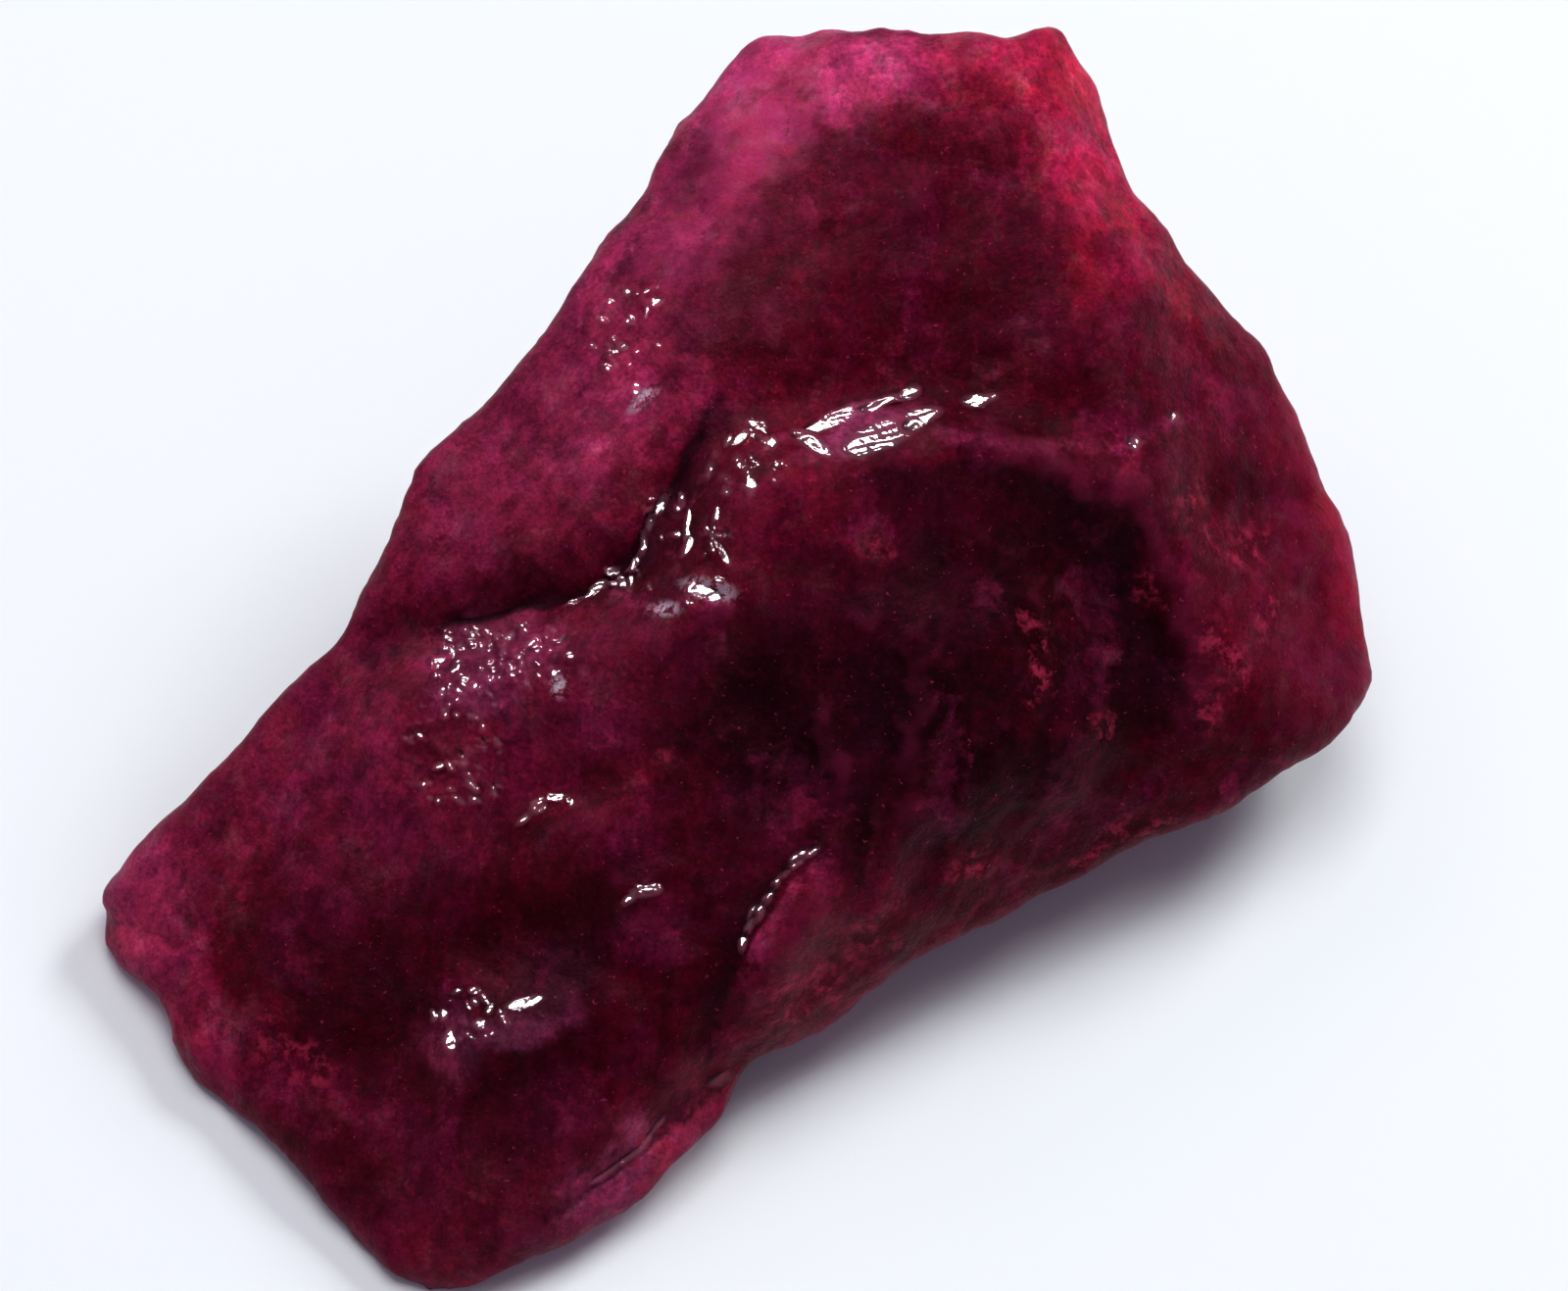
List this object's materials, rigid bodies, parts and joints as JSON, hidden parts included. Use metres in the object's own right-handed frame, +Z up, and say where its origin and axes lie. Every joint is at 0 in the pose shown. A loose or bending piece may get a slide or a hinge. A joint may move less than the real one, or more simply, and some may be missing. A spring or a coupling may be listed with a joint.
{
  "type": "rough ruby",
  "caption": "Natural rough ruby: a blocky, wedge-shaped shard of cloudy corundum with a ledge, a shell-shaped scoop and a flat resting face.",
  "frame": {"origin": "middle of the stone's bounding box, on the level of its flat resting face", "axes": "+X along the stone's longest extent, +Y up the slope of its broad broken face to the high end, +Z up from the resting face"},
  "size_m": [0.0409, 0.0371, 0.0185],
  "materials": {
    "ruby": "cloudy, deep red-magenta corundum; sugary broken faces with wet-looking glints on ridges and lumps"
  },
  "bodies": {
    "root": {"ruby": "ruby"}
  },
  "joints": []
}
